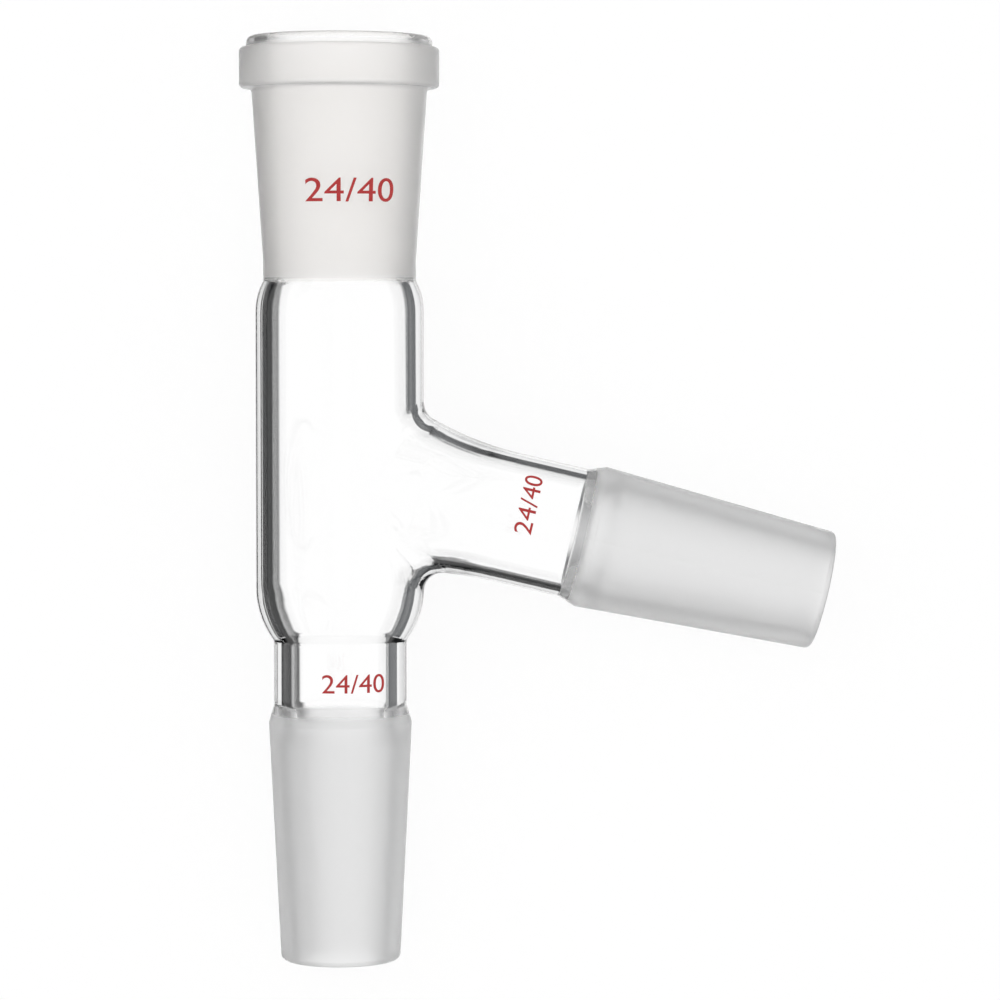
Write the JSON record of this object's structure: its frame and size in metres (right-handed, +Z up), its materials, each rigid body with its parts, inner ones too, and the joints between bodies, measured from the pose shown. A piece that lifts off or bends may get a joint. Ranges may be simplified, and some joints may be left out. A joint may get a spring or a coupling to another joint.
{
  "type": "distillation head",
  "caption": "Blown-glass distillation head: ground taper socket on top, clear body, and ground taper cones below and on a sloping side arm.",
  "frame": {"origin": "on the bench that the head lies on, under the centre of its bounding box", "axes": "+Y along the main tube towards the socket, +X to the side arm, +Z up from the bench; the main axis rises 1.77 degrees towards the socket and the side arm falls to the bench"},
  "size_m": [0.0998, 0.1552, 0.0335],
  "materials": {
    "borosilicate_glass": "clear, fire-polished glass, with the inside of the socket and the outside of both cones ground to a fine white frost"
  },
  "bodies": {
    "root": {"distilling_head": "borosilicate_glass"}
  },
  "joints": []
}
